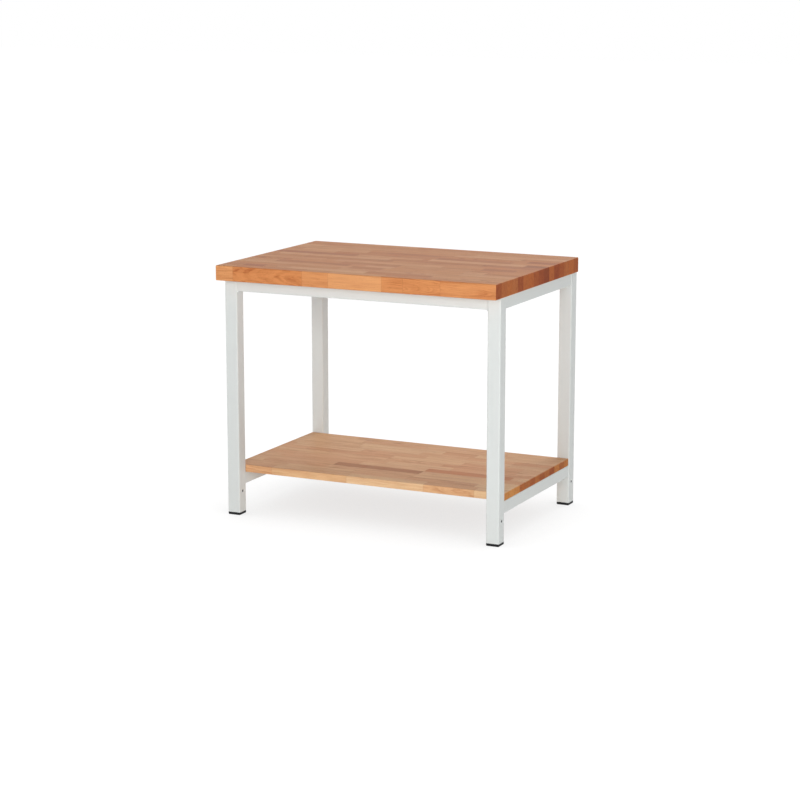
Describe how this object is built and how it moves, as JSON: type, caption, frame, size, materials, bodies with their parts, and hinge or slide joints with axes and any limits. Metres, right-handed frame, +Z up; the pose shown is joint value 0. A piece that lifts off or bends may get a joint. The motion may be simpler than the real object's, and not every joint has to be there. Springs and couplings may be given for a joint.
{
  "type": "assembly table",
  "caption": "Assembly table with a thick glued beech worktop on a bolted square-tube steel frame, a low beech shelf and plastic feet.",
  "frame": {"origin": "on the floor, under the middle of the worktop", "axes": "+X along the table to the user's right, +Y from the front edge to the rear, +Z up"},
  "size_m": [1, 0.7, 0.85],
  "materials": {
    "beech": "glued beech staves, sanded and oiled, satin",
    "powder_coated_steel": "light grey powder coat, satin with fine orange peel",
    "foot_plastic": "black moulded polyethylene, fine grain",
    "zinc_plated_steel": "bright zinc plated"
  },
  "bodies": {
    "root": {"worktop": "beech", "shelf_board": "beech", "front_long_rail": "powder_coated_steel", "rear_long_rail": "powder_coated_steel", "left_upper_rail": "powder_coated_steel", "right_upper_rail": "powder_coated_steel", "left_shelf_rail": "powder_coated_steel", "right_shelf_rail": "powder_coated_steel", "front_left_leg": "powder_coated_steel", "front_right_leg": "powder_coated_steel", "rear_left_leg": "powder_coated_steel", "rear_right_leg": "powder_coated_steel", "front_left_end_plate": "powder_coated_steel", "front_right_end_plate": "powder_coated_steel", "rear_left_end_plate": "powder_coated_steel", "rear_right_end_plate": "powder_coated_steel", "front_left_foot": "foot_plastic", "front_right_foot": "foot_plastic", "rear_left_foot": "foot_plastic", "rear_right_foot": "foot_plastic", "frame_bolts": "zinc_plated_steel", "nut_plates": "zinc_plated_steel", "worktop_screws": "zinc_plated_steel", "shelf_screws": "zinc_plated_steel"}
  },
  "joints": []
}
